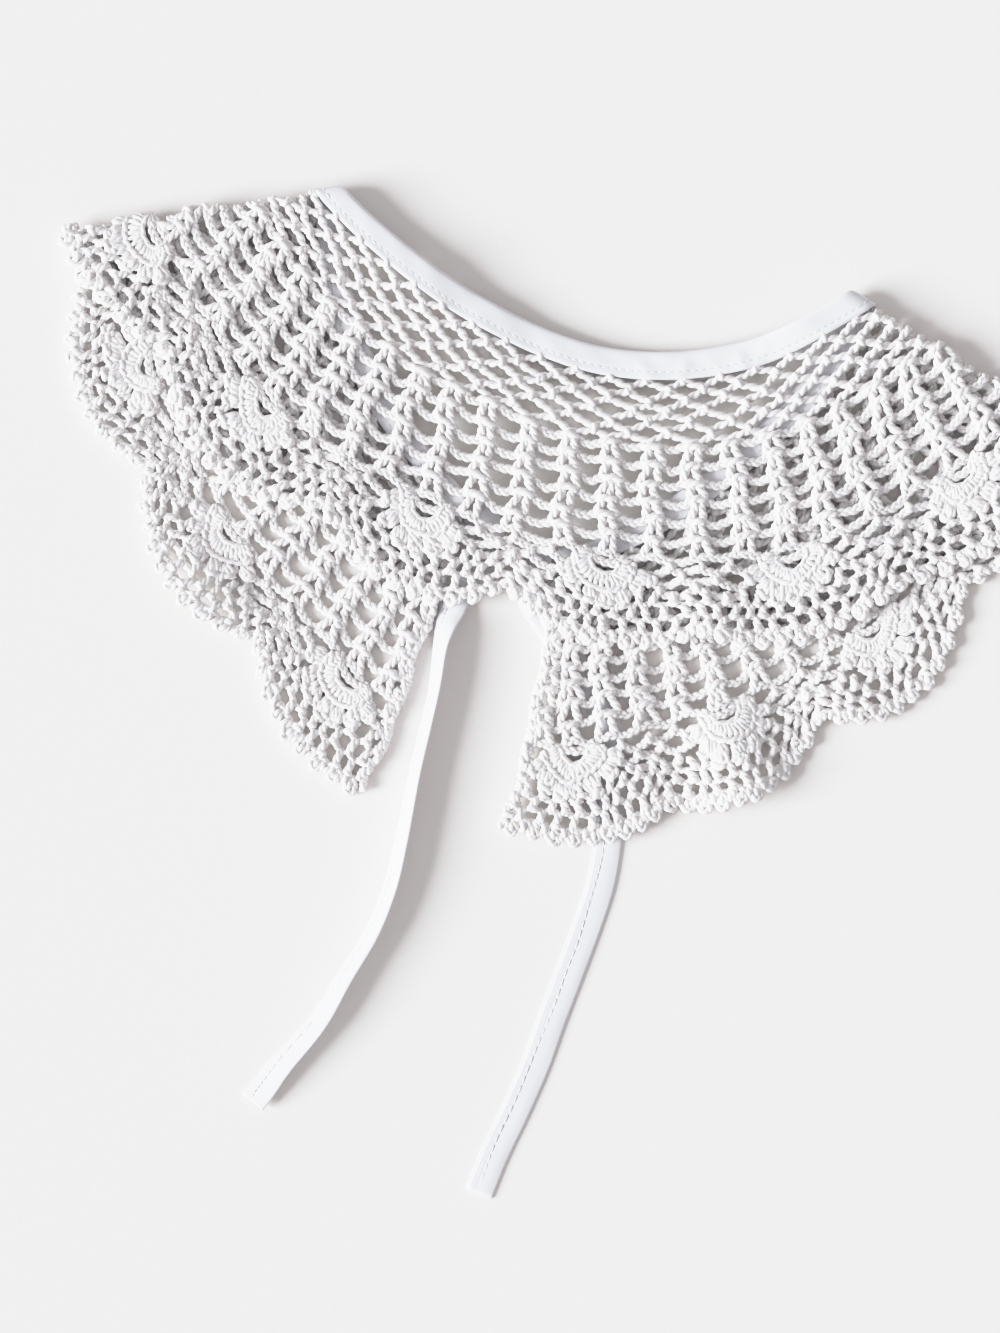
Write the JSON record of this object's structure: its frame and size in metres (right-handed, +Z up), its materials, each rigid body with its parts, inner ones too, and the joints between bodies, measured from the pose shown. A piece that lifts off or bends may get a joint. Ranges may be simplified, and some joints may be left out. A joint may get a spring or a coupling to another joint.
{
  "type": "crochet collar",
  "caption": "Openwork crochet cape collar with a scalloped hem, a bias tape neck binding and two tape ties, laid flat and folded at the shoulders.",
  "frame": {"origin": "middle of the laid-out collar's outline, on the surface it lies on", "axes": "+X to the right along the surface, +Y from the hem towards the neck, +Z up off the surface"},
  "size_m": [0.3636, 0.354, 0.0104],
  "materials": {
    "crochet_cotton": "matt twisted cotton yarn",
    "bias_tape": "pressed plain-weave cotton"
  },
  "bodies": {
    "root": {"back_lace": "crochet_cotton", "left_front_lace": "crochet_cotton", "right_front_lace": "crochet_cotton", "back_neck_tape": "bias_tape", "left_front_neck_tape": "bias_tape", "right_front_neck_tape": "bias_tape", "left_tie": "bias_tape", "right_tie": "bias_tape"}
  },
  "joints": []
}
